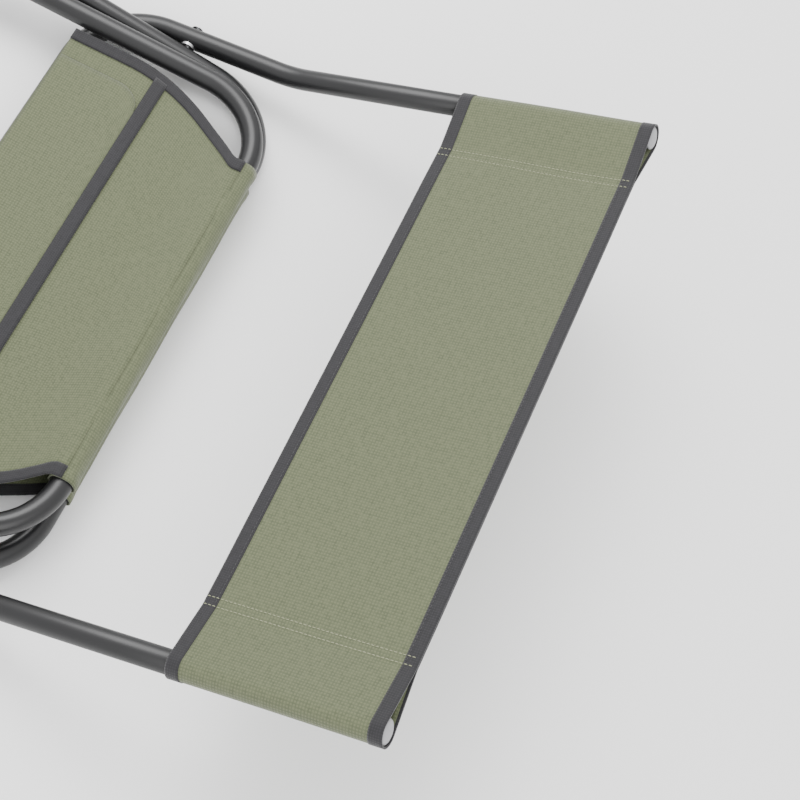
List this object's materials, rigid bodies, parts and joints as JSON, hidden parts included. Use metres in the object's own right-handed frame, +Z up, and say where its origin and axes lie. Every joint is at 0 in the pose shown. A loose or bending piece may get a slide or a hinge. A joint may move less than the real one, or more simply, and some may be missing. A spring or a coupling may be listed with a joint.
{
  "type": "folding camp chair",
  "caption": "Folding camp chair with bent tube frames, a fabric back band and a folding fabric seat, shown folded flat on its back.",
  "frame": {"origin": "centre of the bottom of the bounding box, folded and lying on its back", "axes": "+X across the chair, +Y from the feet to the top of the back, +Z up, out of the front of the folded chair"},
  "size_m": [0.543, 0.8466, 0.1941],
  "materials": {
    "powder_coat": "satin powder coat",
    "olive_fabric": "woven matte",
    "black_binding": "woven matte",
    "bright_steel": "bright",
    "grey_plastic": "matte",
    "black_plastic": "matte"
  },
  "bodies": {
    "rear_frame": {"rear_seat_frame": "powder_coat", "rear_foot_cap_left": "black_plastic", "rear_foot_cap_right": "black_plastic", "rear_sleeve": "olive_fabric", "main_rivet_left": "bright_steel", "main_rivet_right": "bright_steel", "main_spacer_left": "bright_steel", "main_spacer_right": "bright_steel", "back_rivet_left": "bright_steel", "back_rivet_right": "bright_steel", "back_spacer_left": "bright_steel", "back_spacer_right": "bright_steel"},
    "front_frame": {"front_seat_frame": "powder_coat", "front_foot_cap_left": "black_plastic", "front_foot_cap_right": "black_plastic", "front_sleeve": "olive_fabric"},
    "back_rest": {"back_frame": "powder_coat", "post_plug_left": "grey_plastic", "post_plug_right": "grey_plastic", "back_band": "olive_fabric", "band_lower_binding": "black_binding", "band_upper_binding": "black_binding"},
    "seat_rear": {"seat_rear_panel": "olive_fabric", "seat_rear_binding_left": "black_binding", "seat_rear_binding_right": "black_binding"},
    "seat_front": {"seat_front_panel": "olive_fabric", "seat_front_binding_left": "black_binding", "seat_front_binding_right": "black_binding", "seat_pocket": "olive_fabric", "pocket_binding": "black_binding"}
  },
  "joints": [
    {"name": "open", "type": "hinge", "parent": "rear_frame", "child": "front_frame", "pos_m": [0, -0.11647, 0.04258], "axis": [1, 0, 0], "range_deg": [0, 82.95]},
    {"name": "back_fold", "type": "hinge", "parent": "rear_frame", "child": "back_rest", "pos_m": [0, 0.04226, 0.02245], "axis": [1, 0, 0], "range_deg": [0, 145]},
    {"name": "seat_rear_hinge", "type": "hinge", "parent": "rear_frame", "child": "seat_rear", "pos_m": [0, 0.1365, 0.0105], "axis": [1, 0, 0], "range_deg": [-44.14, 0]},
    {"name": "seat_crease", "type": "hinge", "parent": "seat_rear", "child": "seat_front", "pos_m": [0, -0.04145, 0.03753], "axis": [1, 0, 0], "range_deg": [0, 170.73], "deforming": ["seat_front_panel", "seat_front_binding_left", "seat_front_binding_right", "seat_pocket", "pocket_binding"]}
  ],
  "couplings": [
    {"joint": "seat_rear_hinge", "follows": "open", "ratio": -0.5261},
    {"joint": "seat_crease", "follows": "open", "ratio": 2.0522}
  ]
}
